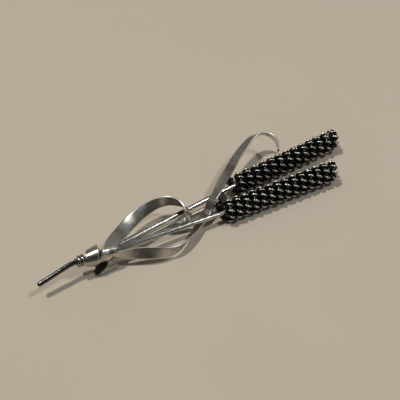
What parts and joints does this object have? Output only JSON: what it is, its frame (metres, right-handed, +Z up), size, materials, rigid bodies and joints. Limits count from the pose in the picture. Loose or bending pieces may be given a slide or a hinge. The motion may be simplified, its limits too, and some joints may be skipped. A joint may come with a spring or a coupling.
{
  "type": "brooch",
  "caption": "Silver brooch of two cattails: coiled-wire heads on wire stems, tied and framed by bent strip leaves, with a hinged pin and hook catch behind.",
  "frame": {"origin": "on the resting surface, under the middle of the brooch's bounding box, with the brooch on its back", "axes": "+X along the brooch from the stub of the stem to the cattails' tips, +Y towards the curled leaf's side, +Z up out of the front"},
  "size_m": [0.0936, 0.0232, 0.008],
  "materials": {
    "polished_silver": "polished silver wire, lightly tarnished",
    "leaf_silver": "polished silver strip with fine scratches",
    "oxidised_silver": "glossy black oxidised silver",
    "dark_wire": "tarnished silver wire",
    "pin_back": "satin silver findings"
  },
  "bodies": {
    "brooch": {"main_stem": "polished_silver", "second_stem": "polished_silver", "lower_cattail": "oxidised_silver", "upper_cattail": "oxidised_silver", "lower_core": "dark_wire", "upper_core": "dark_wire", "binding_wire": "dark_wire", "curled_leaf": "leaf_silver", "long_leaf": "leaf_silver", "catch_hook": "leaf_silver", "joint_bracket": "pin_back", "hinge_rivet": "pin_back"},
    "pin": {"pin_stem": "pin_back"}
  },
  "joints": [
    {"name": "pin_hinge", "type": "hinge", "parent": "brooch", "child": "pin", "pos_m": [0.00674, -0.00128, 0.0015], "axis": [0.0063, -0.9271, -0.3747], "range_deg": [0, 100]}
  ]
}
